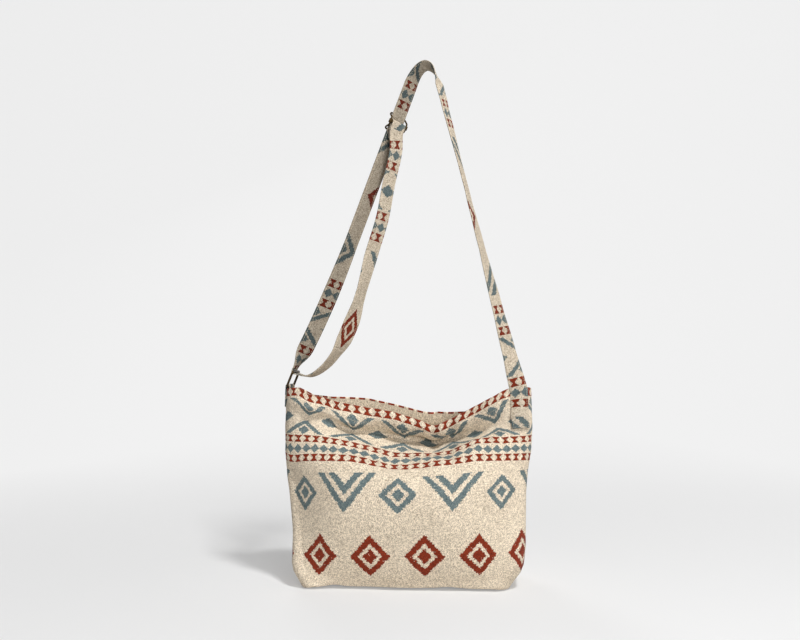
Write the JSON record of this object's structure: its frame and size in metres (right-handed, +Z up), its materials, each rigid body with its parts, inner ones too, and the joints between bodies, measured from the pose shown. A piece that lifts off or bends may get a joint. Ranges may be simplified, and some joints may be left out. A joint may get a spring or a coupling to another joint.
{
  "type": "crossbody bag",
  "caption": "Soft slouched cloth crossbody bag with an open mouth, boxed base, adjustable cloth strap, wire ring on a tab and wire strap slider; woven geometric bands.",
  "frame": {"origin": "middle of the flat base, on the surface that the bag stands on", "axes": "+Z up, +X towards the end where the strap is sewn on, +Y towards the back panel"},
  "size_m": [0.3609, 0.1633, 0.7544],
  "materials": {
    "bag_cloth": "matte heathered weave",
    "strap_cloth": "matte heathered weave",
    "antique_brass": "dark antique, satin"
  },
  "bodies": {
    "bag": {"front_panel": "bag_cloth", "back_panel": "bag_cloth", "ring_tab": "strap_cloth", "strap": "strap_cloth", "strap_return": "strap_cloth"},
    "ring": {"ring": "antique_brass"},
    "slider": {"slider_frame": "antique_brass", "slider_bar": "antique_brass"}
  },
  "joints": [
    {"name": "ring_swing", "type": "hinge", "parent": "bag", "child": "ring", "pos_m": [-0.17436, 0.00253, 0.28042], "axis": [0.0966, 0.9948, -0.0335], "range_deg": [-35, 35], "deforming": ["strap_return"]},
    {"name": "slider_slide", "type": "slide", "parent": "bag", "child": "slider", "axis": [0.3562, -0.0061, 0.9344], "range_m": [-0.15, 0.03], "deforming": ["strap_return"]}
  ]
}
